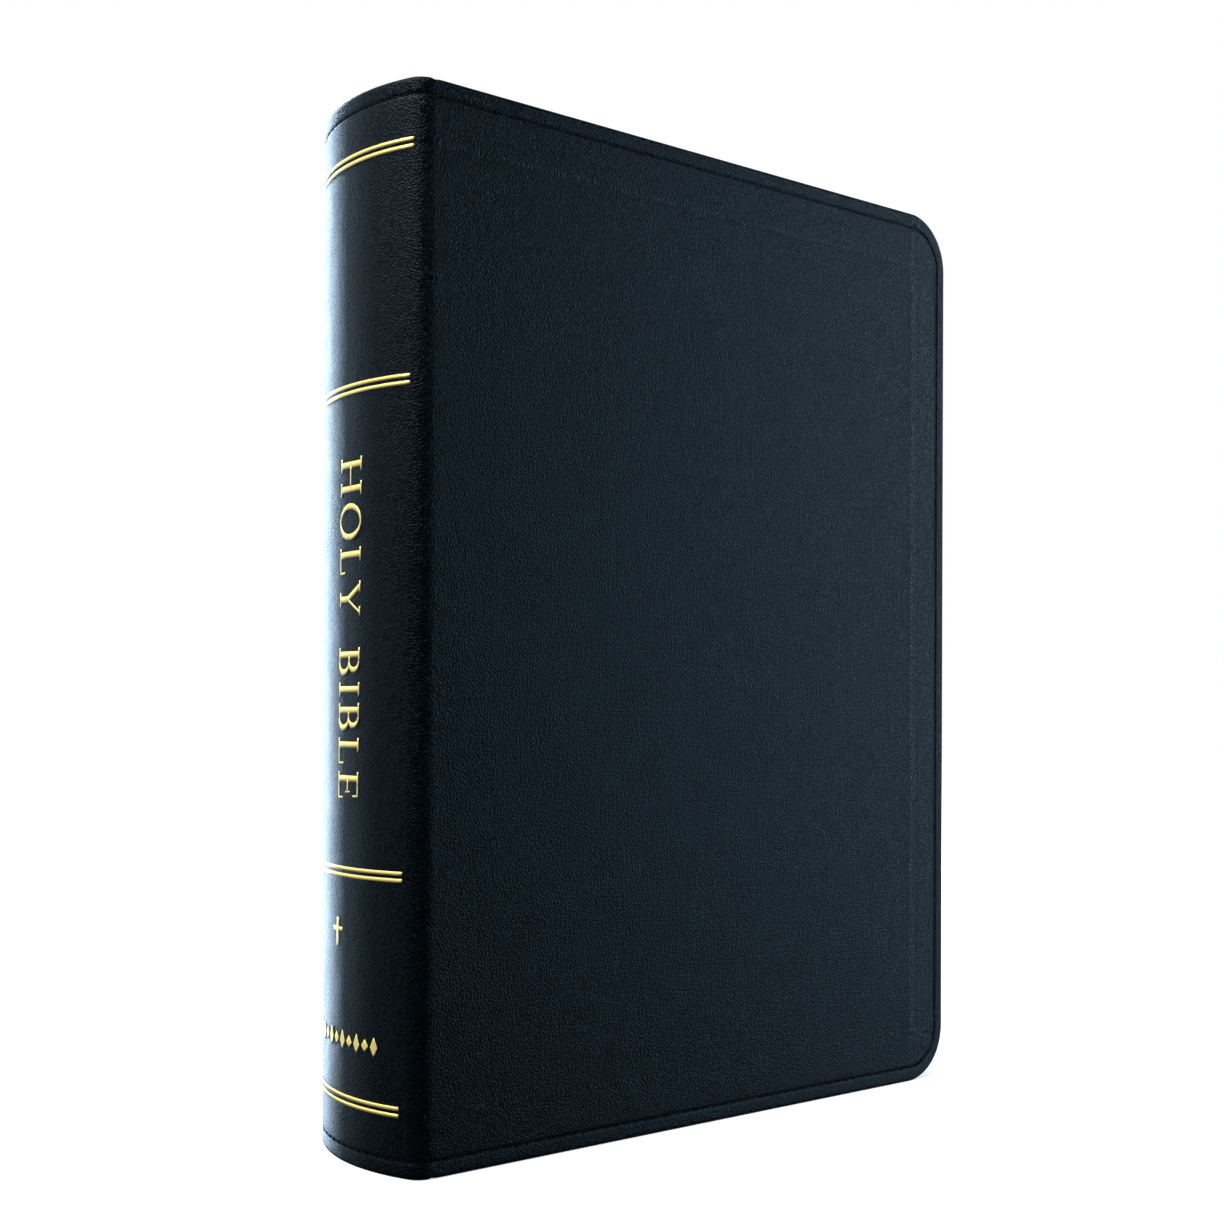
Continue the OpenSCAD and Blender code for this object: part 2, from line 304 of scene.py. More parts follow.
# %% One skin from a grid
def skin(name, columns, material, flip):
    """Welds an outer and an inner grid. Each place is (outer point, inner point, flat place)."""
    points, places, outer, inner = [], [], [], []
    for column in columns:
        outer.append([])
        inner.append([])
        for out, within, length, z, d in column:
            outer[-1].append(len(points))
            points.append(out)
            places.append((length, 0, z))
            if d > 0:
                inner[-1].append(len(points))
                points.append(within)
                places.append((length, EDGE_T, z))
            else:
                inner[-1].append(outer[-1][-1])
    faces = []
    for i in range(len(columns) - 1):
        for j in range(len(columns[0]) - 1):
            for side, turned in ((outer, flip), (inner, not flip)):
                face = [side[i][j], side[i + 1][j], side[i + 1][j + 1], side[i][j + 1]]
                faces.append(face[::-1] if turned else face)
    piece = build(name, points, faces, places, [material])
    piece.modifiers.new("rounding", "SUBSURF").render_levels = 1
    piece.modifiers["rounding"].levels = 1
    return piece


def notch(length, z):
    """How far the head and tail edges dip where the spine meets each cover."""
    near_end = smooth(1 - min(z, COVER_H - z) / 3)
    return math.copysign(0.22 * dent(abs(length) - ARCH_LENGTH, 0.7) * near_end, z - COVER_H / 2)


def spine_columns():
    """The spine's grid, from the back hinge round to the front one."""
    for turn in SPINE_TURNS:
        length = arch_length(turn)
        column = []
        for z in Z_LINES:
            d = min(z, COVER_H - z)
            rim = z - notch(length, z)
            out = hide_point(length, outer_depth(length, z, d), rim)
            column.append((out, hide_point(length, inner_depth(d), rim), length, z, d))
        yield column


def cover_columns(side):
    """A cover's grid from its hinge to its outer edge; side is 1 in front and -1 at the back."""
    for y in Y_LINES:
        column = []
        for z in Z_LINES:
            cy, cz, d, turn = y, z, min(z, COVER_H - z, FORE_Y - y), None
            across = y - (FORE_Y - CORNER_R)
            up = abs(z - COVER_H / 2) - (COVER_H / 2 - CORNER_R)
            if across >= 0 and up >= 0 and max(across, up) > 0:
                r = max(across, up)
                turn = math.pi / 4 * (up / across if up <= across else 2 - across / up)
                d = CORNER_R - r
                cy = FORE_Y - CORNER_R + r * math.cos(turn)
                cz = COVER_H / 2 + math.copysign(COVER_H / 2 - CORNER_R + r * math.sin(turn), z - COVER_H / 2)
            d = max(d, 0)
            length = side * (ARCH_LENGTH + cy - HINGE_Y)
            rim = cz - notch(length, cz)
            out = hide_point(length, outer_depth(length, cz, d, turn), rim)
            column.append((out, hide_point(length, inner_depth(d), rim), length, cz, d))
        yield column


# %% [markdown]
# ## Bonded leather, dyed black
# The hide is black calf-grained leather with a light finish. Its pebble grain is cells about
# 0.75 mm across, divided by fine creases, with faint longer creases running up and down. The
# dye is a very dark blue-black, and the creases between the pebbles are painted darker still as
# painted shade. The finish reflects softly and slightly blue, and more strongly at a glancing
# angle. Its specular level is set well below that of real leather, which is about 0.5, so that
# the black stays dark under lights strong enough for the gold.

# %% Leather material
leather, tree = new_material("black_grained_leather")
GRAIN_MM = 0.75
place = add(tree, "Attribute", attribute_name="cut_mm").outputs["Vector"]
drift = add(tree, "TexNoise", {"Vector": place, "Scale": 0.7, "Detail": 3.0}).outputs["Color"]
wander = add(tree, "VectorMath", {0: drift, 1: (1.1, 1.1, 1.1)}, operation="MULTIPLY").outputs[0]
bent_place = add(tree, "VectorMath", {0: place, 1: wander}).outputs[0]
cells = add(tree, "TexVoronoi", {"Vector": bent_place, "Scale": 1 / GRAIN_MM},
            feature="DISTANCE_TO_EDGE").outputs["Distance"]
pebbles = add(tree, "MapRange", {"Value": cells, "From Max": 0.3}, interpolation_type="SMOOTHSTEP").outputs[0]
CREASE_STRETCH = (0.16, 0.16, 0.022)
tall_place = add(tree, "VectorMath", {0: bent_place, 1: CREASE_STRETCH}, operation="MULTIPLY").outputs[0]
streaks = add(tree, "TexNoise", {"Vector": tall_place, "Scale": 1.0, "Detail": 3.0,
                                 "Roughness": 0.6}).outputs[0]
from_middle = add(tree, "Math", {0: streaks, 1: 0.5}, operation="SUBTRACT").outputs[0]
ridge = add(tree, "Math", {0: from_middle}, operation="ABSOLUTE").outputs[0]
creases = add(tree, "MapRange", {"Value": ridge, "From Max": 0.012},
              interpolation_type="SMOOTHSTEP").outputs[0]
patches = add(tree, "TexNoise", {"Vector": place, "Scale": 0.1, "Detail": 5.0, "Roughness": 0.65}).outputs[0]
speckle = add(tree, "TexNoise", {"Vector": place, "Scale": 1.9, "Detail": 3.0, "Roughness": 0.7}).outputs[0]
height = add(tree, "Math", {0: pebbles, 1: 0.6, 2: speckle}, operation="MULTIPLY_ADD").outputs[0]
crease_height = add(tree, "Math", {0: creases, 1: 0.12, 2: height}, operation="MULTIPLY_ADD").outputs[0]
bump = add(tree, "Bump", {"Height": crease_height, "Strength": 0.85, "Distance": 0.00014})
dye = add(tree, "Mix", {0: patches, 6: colour("#05080A"), 7: colour("#0A0E11")}, data_type="RGBA").outputs[2]
# Painted shade: the creases between the pebbles are darkened towards #030405, where shade falls in them.
dye_with_crease_shade = add(tree, "Mix", {0: pebbles, 6: colour("#030405"), 7: dye}, data_type="RGBA").outputs[2]
gloss = add(tree, "MapRange", {"Value": patches, "From Min": 0.3, "From Max": 0.7,
                               "To Min": 0.3, "To Max": 0.38})
surface = add(tree, "BsdfPrincipled", {
    "Base Color": dye_with_crease_shade, "Roughness": gloss.outputs[0], "Normal": bump.outputs[0],
    "IOR": 1.5, "Specular IOR Level": 0.09, "Specular Tint": (0.4, 0.8, 1.0, 1)})
add(tree, "OutputMaterial", {0: surface.outputs[0]})
print("grain cells", GRAIN_MM, "mm across")

# %% Leather on the book
BEND_MM = 12


def bend_with(piece, side, other):
    """Bakes a piece's place into its points. The other body is not used."""
    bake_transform(piece)


SIDES = {"front": 1, "back": -1}
spine_skin = skin("spine_leather_skin", list(spine_columns()), leather, False)
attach(spine_skin, "spine")
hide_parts("spine_leather")
for name, side in SIDES.items():
    cover_skin = skin(name + "_leather_skin", list(cover_columns(side)), leather, side < 0)
    bend_with(cover_skin, side, name + "_cover")
    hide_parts(name + "_cover_leather")
print("three skins of leather in place")

# %% [markdown]
# ## The stitching
# Covers like this are sewn on a lockstitch machine, about eight stitches to the inch, with a
# waxed black thread. Each stitch is a short dash that rises from one hole and dives into the
# next, and the twist of the thread makes it lie a little askew. At each hole a short strand
# crosses the line, where the two threads lock. Modelling each one as its own tapered tube
# gives the line its fine broken look. The same stitches show inside.

# %% Stitch shapes
STITCH_PITCH = 3.2
STITCH_LENGTH = 2.8
THREAD_R = 0.2
LOCK_LENGTH = 0.95
LOCK_R = 0.15
LOCK_TURN = math.radians(72)
STITCH_SKEW = math.radians(7)
RINGS, SIDES_ROUND = 7, 8


def tube(points, places, faces, length, z, heading, top, sign, long, thick):
    """Adds one short tapered tube of thread, pointing along a heading, just under a face."""
    first = len(points)
    for i in range(RINGS):
        t = 2 * i / (RINGS - 1) - 1
        radius = thick * math.sqrt(1 - 0.8 * t * t)
        centre = top + sign * (thick + 0.2 * t ** 4)
        for k in range(SIDES_ROUND):
            a = 2 * math.pi * k / SIDES_ROUND
            along, across = t * long / 2, radius * math.cos(a)
            u = length + along * math.cos(heading) - across * math.sin(heading)
            v = z + along * math.sin(heading) + across * math.cos(heading)
            depth = centre - sign * radius * math.sin(a)
            points.append(hide_point(u, depth, v))
            places.append((along, across, z))
    for i in range(RINGS - 1):
        for k in range(SIDES_ROUND):
            a, b = first + i * SIDES_ROUND + k, first + i * SIDES_ROUND + (k + 1) % SIDES_ROUND
            faces.append((a, b, b + SIDES_ROUND, a + SIDES_ROUND))
    faces.append(tuple(range(first, first + SIDES_ROUND)))
    last = first + (RINGS - 1) * SIDES_ROUND
    faces.append(tuple(range(last + SIDES_ROUND - 1, last - 1, -1)))


def stitch(points, places, faces, length, z, heading, top, sign):
    """Adds one stitch and, at its far end, the small cross-strand where the two threads lock."""
    tube(points, places, faces, length, z, heading + STITCH_SKEW, top, sign, STITCH_LENGTH, THREAD_R)
    end = STITCH_PITCH / 2
    u, v = length + end * math.cos(heading), z + end * math.sin(heading)
    lock_top = top - sign * 0.04
    tube(points, places, faces, u, v, heading + LOCK_TURN, lock_top, sign, LOCK_LENGTH, LOCK_R)


def seam_place(s):
    """Y, Z and heading on the cover's stitch line, at a length from its start at the tail."""
    r = CORNER_R - STITCH_INSET
    straight, side, arc = FORE_Y - HINGE_Y - CORNER_R, COVER_H - 2 * CORNER_R, r * math.pi / 2
    cy = FORE_Y - CORNER_R
    if s < straight:
        return HINGE_Y + s, STITCH_INSET, 0
    s -= straight
    if s < arc:
        a = s / r - math.pi / 2
        return cy + r * math.cos(a), CORNER_R + r * math.sin(a), a + math.pi / 2
    s -= arc
    if s < side:
        return FORE_Y - STITCH_INSET, CORNER_R + s, math.pi / 2
    s -= side
    if s < arc:
        a = s / r
        return cy + r * math.cos(a), COVER_H - CORNER_R + r * math.sin(a), a + math.pi / 2
    return cy - (s - arc), COVER_H - STITCH_INSET, math.pi


# %% [markdown]
# ## Waxed thread
# Bonded polyester thread is three plies twisted together and waxed. The twist shows as fine
# slanting ridges, and the grooves between them are painted darker as painted shade. The wax has
# gone dull, so the thread shines less than the leather does.

# %% Thread material
thread, tree = new_material("waxed_black_thread")
place = add(tree, "Attribute", attribute_name="cut_mm").outputs["Vector"]
ply = add(tree, "TexWave", {"Vector": place, "Scale": 0.9, "Distortion": 0.4},
          bands_direction="DIAGONAL").outputs[1]
bump = add(tree, "Bump", {"Height": ply, "Strength": 0.5, "Distance": 0.00006})
# Painted shade: the grooves between the twisted plies are darker, where shade falls between them.
thread_with_groove_shade = add(tree, "Mix", {0: ply, 6: colour("#020304"), 7: colour("#080B0E")}, data_type="RGBA").outputs[2]
surface = add(tree, "BsdfPrincipled", {
    "Base Color": thread_with_groove_shade, "Roughness": 0.45, "Normal": bump.outputs[0],
    "IOR": 1.53, "Specular IOR Level": 0.05, "Specular Tint": (0.6, 0.8, 1.0, 1)})
add(tree, "OutputMaterial", {0: surface.outputs[0]})

# %% Stitching on the book
points, places, faces = [], [], []
CHANNEL_DEPTH = 0.12
count = 2 * math.floor((ARCH_LENGTH - STITCH_PITCH / 2) / STITCH_PITCH) + 1
for z in (STITCH_INSET, COVER_H - STITCH_INSET):
    for i in range(count):
        length = (i - (count - 1) / 2) * STITCH_PITCH
        stitch(points, places, faces, length, z, 0, CHANNEL_DEPTH, 1)
spine_stitches = build("spine_stitches", points, faces, places, [thread])
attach(spine_stitches, "spine")
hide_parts("spine_stitching")

SEAM_LENGTH = (2 * (FORE_Y - HINGE_Y - CORNER_R) + COVER_H - 2 * CORNER_R
               + math.pi * (CORNER_R - STITCH_INSET))
INNER_TOP = EDGE_T - 0.05
seam_count = math.floor(SEAM_LENGTH / STITCH_PITCH)
seam_start = (SEAM_LENGTH - (seam_count - 1) * STITCH_PITCH) / 2
for name, side in SIDES.items():
    points, places, faces = [], [], []
    for i in range(seam_count):
        y, z, heading = seam_place(seam_start + i * STITCH_PITCH)
        length = side * (ARCH_LENGTH + y - HINGE_Y)
        turned = heading if side > 0 else math.pi - heading
        stitch(points, places, faces, length, z, turned, CHANNEL_DEPTH, 1)
        stitch(points, places, faces, length, z, turned, INNER_TOP, -1)
    seam = build(name + "_seam_stitches", points, faces, places, [thread])
    bend_with(seam, side, name + "_cover")
    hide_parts(name + "_stitching")
print(2 * count, "stitches on the spine and", seam_count, "round each cover")

# %% [markdown]
# ## Gold stamping
# The binder presses a hot brass die through gold foil. The foil lies on the leather as a skin
# a few hundredths of a millimetre thick, so it is modelled as flat shapes wrapped onto the
# same curve. Every shape is a strip, a row of point pairs: a rule is one long strip, and a
# capital letter is a few strips, such as stems, bars and bowls. The die was set a touch askew,
# so all of the gold leans slightly. The words are the plainest title that such a book has.

# %% Strips of foil
FOIL_T = 0.04
FOIL_STEP = 0.9
LEAN = 0.016


def strips_to_foil(name, strips, material):
    """Wraps strips of (length, z) pairs round the spine as thin foil."""
    points, places, faces = [], [], []
    for strip in strips:
        rows = []
        for (a, b), (c, d) in zip(strip, strip[1:]):
            parts = max(1, math.ceil(max(math.dist(a, c), math.dist(b, d)) / FOIL_STEP))
            for i in range(parts + 1 if (c, d) == strip[-1] else parts):
                t = i / parts
                rows.append([[p[n] + (q[n] - p[n]) * t for n in (0, 1)] for p, q in ((a, c), (b, d))])
        wide = max(1, math.ceil(max(math.dist(p, q) for p, q in rows) / FOIL_STEP))
        first = len(points)
        for p, q in rows:
            for i in range(wide + 1):
                u, z = (p[n] + (q[n] - p[n]) * i / wide for n in (0, 1))
                u += (z - COVER_H / 2) * LEAN
                d = min(z, COVER_H - z)
                points.append(hide_point(u, outer_depth(u, z, d) - FOIL_T, z))
                places.append((u, 0, z))
        for r in range(len(rows) - 1):
            for i in range(wide):
                a = first + r * (wide + 1) + i
                faces.append((a, a + 1, a + wide + 2, a + wide + 1))
    foil = build(name, points, faces, places, [material])
    foil.modifiers.new("foil", "SOLIDIFY").thickness = FOIL_T * 2 * MM
    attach(foil, "spine")
    return foil


# %% [markdown]
# ## Gold foil
# Stamping foil is real metal on a film, pressed into a grained surface. It keeps the leather's
# pebbles as a fine mottle, so it looks like pale matt gold and not like polished metal. More
# than half of its colour is drawn as scattered light here. Real foil is nearer fully metallic,
# but it would then show dark wherever no light is mirrored.

# %% Foil material
foil_gold, tree = new_material("stamped_gold_foil")
place = add(tree, "Attribute", attribute_name="cut_mm").outputs["Vector"]
cells = add(tree, "TexVoronoi", {"Vector": place, "Scale": 1 / GRAIN_MM}).outputs["Distance"]
mottle = add(tree, "TexNoise", {"Vector": place, "Scale": 1.1, "Detail": 4.0}).outputs[0]
bump = add(tree, "Bump", {"Height": cells, "Strength": 0.25, "Distance": 0.00005})
gold = add(tree, "Mix", {0: mottle, 6: colour("#F7D468"), 7: colour("#FFEB98")}, data_type="RGBA").outputs[2]
surface = add(tree, "BsdfPrincipled", {"Base Color": gold, "Metallic": 0.4, "Roughness": 0.42,
                                       "Normal": bump.outputs[0]})
add(tree, "OutputMaterial", {0: surface.outputs[0]})

# %% Rules across the spine
RULE_W = 0.9
RULE_PITCH = 1.6
RULE_REACH = 20
rules = []
for inset in (14.9, 67.7):
    for z in (inset, COVER_H - inset):
        for middle in (z - RULE_PITCH / 2, z + RULE_PITCH / 2):
            low, high = middle - RULE_W / 2, middle + RULE_W / 2
            rules.append([((u, low), (u, high)) for u in (-RULE_REACH, RULE_REACH)])
rule_foil = strips_to_foil("gilt_rule_foil", rules, foil_gold)
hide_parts("gilt_rules")
print(len(rules), "gold rules,", 2 * RULE_REACH, "mm long")


# %% Parts of a capital letter
def bar(x0, x1, y0, y1):
    """A straight stroke: a stem if it is tall, an arm if it is wide."""
    return [((x0, y0), (x1, y0)), ((x0, y1), (x1, y1))]


def slant(x0, x1, w, foot_y):
    """A sloping stroke from its foot at x0 to its head at x1, at the top of the letter."""
    return [((x0, foot_y), (x0 + w, foot_y)), ((x1, 1), (x1 + w, 1))]


def bowl(cx, cy, rx, ry, start, end, thick, thin):
    """Part of a round stroke, thick at its sides and thin at its top and bottom."""
    pairs = []
    for i in range(19):
        a = math.radians(start + (end - start) * i / 18)
        c, s = math.cos(a), math.sin(a)
        pairs.append(((cx + rx * c, cy + ry * s), (cx + (rx - thick) * c, cy + (ry - thin) * s)))
    return pairs


def stem(x):
    """A stem with thin serifs at its foot and head."""
    return [bar(x, x + STEM, 0, 1)] + [bar(x - 0.09, x + STEM + 0.09, y, y + 0.045) for y in (0, 0.955)]


THIN = 0.05
STEM = 0.15
LETTERS = {
    "B": (0.66, [*stem(0.09), bar(0.2, 0.36, 0.95, 1), bar(0.2, 0.38, 0.5, 0.55), bar(0.2, 0.38, 0, THIN),
                 bowl(0.34, 0.755, 0.26, 0.245, -90, 90, 0.14, THIN),
                 bowl(0.36, 0.275, 0.3, 0.275, -90, 90, STEM, THIN)]),
    "E": (0.66, [*stem(0.09), bar(0.2, 0.6, 0.95, 1), bar(0.2, 0.5, 0.48, 0.53), bar(0.2, 0.64, 0, THIN),
                 bar(0.55, 0.6, 0.76, 1), bar(0.59, 0.64, 0, 0.24), bar(0.46, 0.5, 0.4, 0.61)]),
    "H": (0.9, [*stem(0.09), *stem(0.66), bar(0.2, 0.7, 0.48, 0.53)]),
    "I": (0.33, stem(0.09)),
    "L": (0.64, [*stem(0.09), bar(0.2, 0.62, 0, THIN), bar(0.57, 0.62, 0, 0.26)]),
    "O": (0.9, [bowl(0.45, 0.5, 0.44, 0.52, 0, 360, STEM, THIN)]),
    "Y": (0.82, [slant(0.34, 0.04, STEM, 0.44), slant(0.4, 0.72, 0.06, 0.44), bar(0.34, 0.49, 0, 0.46),
                 bar(0.25, 0.58, 0, THIN), bar(0, 0.27, 0.955, 1), bar(0.6, 0.82, 0.955, 1)]),
    " ": (0.42, []),
}
LETTER_GAP = 0.16
print("capitals drawn:", "".join(LETTERS))


# %% Lettering down the spine
def lettering(text, head_z, tail_z, base, cap):
    """Strips for a line of capitals that reads from head to tail, fitted between two heights."""
    wide = sum(LETTERS[c][0] + LETTER_GAP for c in text) - LETTER_GAP
    scale = (head_z - tail_z) / wide
    strips, x = [], 0
    for letter in text:
        width, strokes = LETTERS[letter]
        for stroke in strokes:
            strips.append([tuple((base + cap * py, head_z - scale * (x + px)) for px, py in pair)
                           for pair in stroke])
        x += width + LETTER_GAP
    return strips


TITLE_HEAD, TITLE_TAIL = 163.5, 84.5
TITLE_BASE, CAP_H = -4.3, 9.3
title = lettering("HOLY BIBLE", TITLE_HEAD, TITLE_TAIL, TITLE_BASE, CAP_H)
strips_to_foil("title_foil", title, foil_gold)

# %% Cross and lozenges
CROSS_Z = 50.2
LOZENGE_Z, LOZENGE_PITCH, LOZENGE_HALF = 28.6, 3.2, 1.2
LOZENGES = 9
cross = [bar(-4.6, -3.4, CROSS_Z, CROSS_Z + 6.6), bar(-6.6, -1.4, CROSS_Z + 3.4, CROSS_Z + 4.5)]
lozenges = []
for i in range(LOZENGES):
    u = -13.5 + LOZENGE_PITCH * i
    tall = 1.5 if i % 2 else 2.3
    low_end, high_end = (u - LOZENGE_HALF, LOZENGE_Z), (u + LOZENGE_HALF, LOZENGE_Z)
    middle = ((u, LOZENGE_Z - tall), (u, LOZENGE_Z + tall))
    lozenges.append([(low_end, low_end), middle, (high_end, high_end)])
strips_to_foil("ornament_foil", cross + lozenges, foil_gold)
print(len(title), "strokes in the title,", len(lozenges), "lozenges")

# %% [markdown]
# ## The pages
# The pages are sewn in sections, folded sheets that lie side by side. Where a book opens, each
# section swings a share of the way with the cover. Modelling every leaf would take a thousand
# sheets, so three sections make one piece here, with a fine groove between one section and the
# next. Each piece is a stack of outlines, joined face by face. Its back follows the rounded
# spine and its fore-edge repeats that curve, as it does in a rounded book. Columns of points
# stand close together near the spine, where the pages would bend.

# %% A stack of outlines
def outline_columns(level, bend, step, wide):
    """(y, lowest z, highest z) along one outline, from its back to its fore-edge."""
    _, back, fore, z0, z1, r = level
    ys = [HINGE_Y + i * step for i in range(round(bend / step) + 1)]
    behind = [back, (back + HINGE_Y) / 2] if back < HINGE_Y - 0.05 else []
    ys = behind + [y for y in ys if y >= back - 0.001]
    ys += [ys[-1] + (fore - r - ys[-1]) * i / wide for i in range(1, wide + 1)]
    columns = [(y, z0, z1) for y in ys]
    for i in range(1, 10):
        a = math.pi / 2 * i / 9
        y, drop = fore - r + r * math.sin(a), r - r * math.cos(a)
        columns.append((y, z0 + drop, z1 - drop))
    return columns


def stack(name, levels, bend, step, materials, flip=False):
    """One closed piece from outlines at rising x; its flat faces take the first material."""
    points, faces, kinds, rings = [], [], [], []
    wide = round((levels[0][2] - levels[0][5] - HINGE_Y - bend) / 11)
    for level in levels:
        ring = []
        for y, z0, z1 in outline_columns(level, bend, step, wide):
            ring.append((len(points), len(points) + 1))
            points += [(level[0], y, z0), (level[0], y, z1)]
        rings.append(ring)
    last = len(rings[0]) - 1
    edge = len(materials) - 1

    def face(*corners, kind):
        faces.append(corners[::-1] if flip else corners)
        kinds.append(kind)

    for low, high in zip(rings, rings[1:]):
        for j in range(last):
            face(low[j][0], high[j][0], high[j + 1][0], low[j + 1][0], kind=edge)
            face(low[j][1], low[j + 1][1], high[j + 1][1], high[j][1], kind=edge)
        face(low[0][0], low[0][1], high[0][1], high[0][0], kind=0)
        face(low[last][0], high[last][0], high[last][1], low[last][1], kind=edge)
    for ring, low_side in ((rings[0], True), (rings[-1], False)):
        for j in range(last):
            corners = (ring[j][0], ring[j + 1][0], ring[j + 1][1], ring[j][1])
            face(*(corners if low_side else corners[::-1]), kind=0)
    piece = build(name, points, faces, points, materials, kinds)
    piece.data.set_sharp_from_angle(angle=math.radians(38))
    return piece


# %% [markdown]
# ## India paper with gilt edges
# Bible paper is very thin, cream and slightly translucent, with the print of the other side
# showing faintly. Here the print is two columns of short grey dashes, in lines 3.4 mm apart,
# with no letters. The edges were clamped, scraped and covered with gold leaf, so they look
# like one smooth piece of metal with hair-fine lines. A real leaf is 0.03 mm thick, too fine
# to show, so the lines are drawn about 0.25 mm apart.

# %% Paper material
paper, tree = new_material("printed_india_paper")
place = add(tree, "Attribute", attribute_name="cut_mm").outputs["Vector"]
axes = add(tree, "SeparateXYZ", {0: place})
LINE_MM = 3.4
LEAF_MIDDLE = (leaf_low.y + leaf_high.y) / 2
PRINT_LOW, PRINT_HIGH = leaf_low.z + 16, leaf_high.z - 15
rows = add(tree, "Math", {0: axes.outputs[2], 1: LINE_MM}, operation="DIVIDE").outputs[0]
row_number = add(tree, "Math", {0: rows}, operation="FLOOR").outputs[0]
in_row = add(tree, "Math", {0: rows}, operation="FRACT").outputs[0]
inked_row = add(tree, "Math", {0: in_row, 1: 0.4}, operation="LESS_THAN").outputs[0]
row_seed = add(tree, "Math", {0: row_number, 1: 5.37}, operation="MULTIPLY").outputs[0]
word_place = add(tree, "CombineXYZ", {0: axes.outputs[1], 1: row_seed}).outputs[0]
word_noise = add(tree, "TexNoise", {"Vector": word_place, "Scale": 0.55, "Detail": 1.0}).outputs[0]
words = add(tree, "Math", {0: word_noise, 1: 0.43}, operation="GREATER_THAN").outputs[0]
off_centre = add(tree, "Math", {0: axes.outputs[1], 1: LEAF_MIDDLE}, operation="SUBTRACT").outputs[0]
off_middle = add(tree, "Math", {0: off_centre}, operation="ABSOLUTE").outputs[0]
off_column = add(tree, "Math", {0: off_middle, 1: 35.5}, operation="SUBTRACT").outputs[0]
to_column = add(tree, "Math", {0: off_column}, operation="ABSOLUTE").outputs[0]
in_column = add(tree, "Math", {0: to_column, 1: 32.0}, operation="LESS_THAN").outputs[0]
above_tail = add(tree, "Math", {0: axes.outputs[2], 1: PRINT_LOW}, operation="GREATER_THAN").outputs[0]
below_head = add(tree, "Math", {0: axes.outputs[2], 1: PRINT_HIGH}, operation="LESS_THAN").outputs[0]
ink = inked_row
for mask in (words, in_column, above_tail, below_head):
    ink = add(tree, "Math", {0: ink, 1: mask}, operation="MULTIPLY").outputs[0]
ink_share = add(tree, "Math", {0: ink, 1: 0.62}, operation="MULTIPLY").outputs[0]
fibres = add(tree, "TexNoise", {"Vector": place, "Scale": 0.8, "Detail": 6.0}).outputs[0]
sheet = add(tree, "Mix", {0: fibres, 6: colour("#E9E1CB"), 7: colour("#F4EFDF")}, data_type="RGBA").outputs[2]
printed = add(tree, "Mix", {0: ink_share, 6: sheet, 7: colour("#3A3833")}, data_type="RGBA").outputs[2]
bump = add(tree, "Bump", {"Height": fibres, "Strength": 0.2, "Distance": 0.00005})
surface = add(tree, "BsdfPrincipled", {"Base Color": printed, "Roughness": 0.75, "IOR": 1.5,
                                       "Normal": bump.outputs[0]})
add(tree, "OutputMaterial", {0: surface.outputs[0]})

# %% Gilt edge material
gilt_edge, tree = new_material("gilt_page_edges")
place = add(tree, "Attribute", attribute_name="cut_mm").outputs["Vector"]
LEAF_LINE_MM = 0.25
thin_place = add(tree, "VectorMath", {0: place, 1: (1 / LEAF_LINE_MM, 0.02, 0.02)},
                 operation="MULTIPLY").outputs[0]
leaf_lines = add(tree, "TexNoise", {"Vector": thin_place, "Scale": 1.0, "Detail": 2.0}).outputs[0]
wear = add(tree, "TexNoise", {"Vector": place, "Scale": 0.09, "Detail": 5.0}).outputs[0]
bump = add(tree, "Bump", {"Height": leaf_lines, "Strength": 0.6, "Distance": 0.00006})
gold = add(tree, "Mix", {0: wear, 6: colour("#C99A3E"), 7: colour("#E9C875")}, data_type="RGBA").outputs[2]
lined = add(tree, "Mix", {0: leaf_lines, 6: colour("#A87C2C"), 7: gold}, data_type="RGBA").outputs[2]
surface = add(tree, "BsdfPrincipled", {"Base Color": lined, "Metallic": 0.85, "Roughness": 0.32,
                                       "Normal": bump.outputs[0]})
add(tree, "OutputMaterial", {0: surface.outputs[0]})

# %% Page groups on the book
PAGE_BEND_MM = 30
GROUPS = 8
GROUP_SECTIONS = 3
FOLD_INSET = 2.9
PAGE_R = 10
GROOVE = 0.02
SECTION_ROUND = 0.14
PAGE_Z0, PAGE_Z1, PAGE_FORE = leaf_low.z, leaf_high.z, leaf_high.y
block_half = size_mm("front_sections_1")[1].x + 0.02
PITCH = 2 * block_half / ((2 * GROUPS + 1) * GROUP_SECTIONS)


def fold_depth(x):
    """How far the pages' back stands behind the hinges, at a place across the book."""
    big, small = CROWN_R - FOLD_INSET, SHOULDER_R - FOLD_INSET
    if abs(x) < big * math.sin(CROWN_TURN):
        return math.sqrt(big ** 2 - x ** 2) - (CROWN_Y - HINGE_Y)
    return math.sqrt(max(small ** 2 - max(abs(x) - SHOULDER_X, 0) ** 2, 0.04))


def page_levels(group):
    """Outlines of a group's sections, each rounded at its fold and parted by a fine groove."""
    levels = []
    for section in range(group * GROUP_SECTIONS, (group + 1) * GROUP_SECTIONS):
        x0 = -block_half + section * PITCH + GROOVE
        x1 = x0 + PITCH - 2 * GROOVE
        inner = ((x0 + SECTION_ROUND, 0, 0), (x1 - SECTION_ROUND, 0, 0))
        for x, fold, trim in ((x0, 0.3, 0.05), *inner, (x1, 0.3, 0.05)):
            depth = fold_depth(x)
            back = HINGE_Y - max(depth - fold, 0.15)
            levels.append((x, back, PAGE_FORE - depth - trim, PAGE_Z0 + trim, PAGE_Z1 - trim, PAGE_R))
    return levels


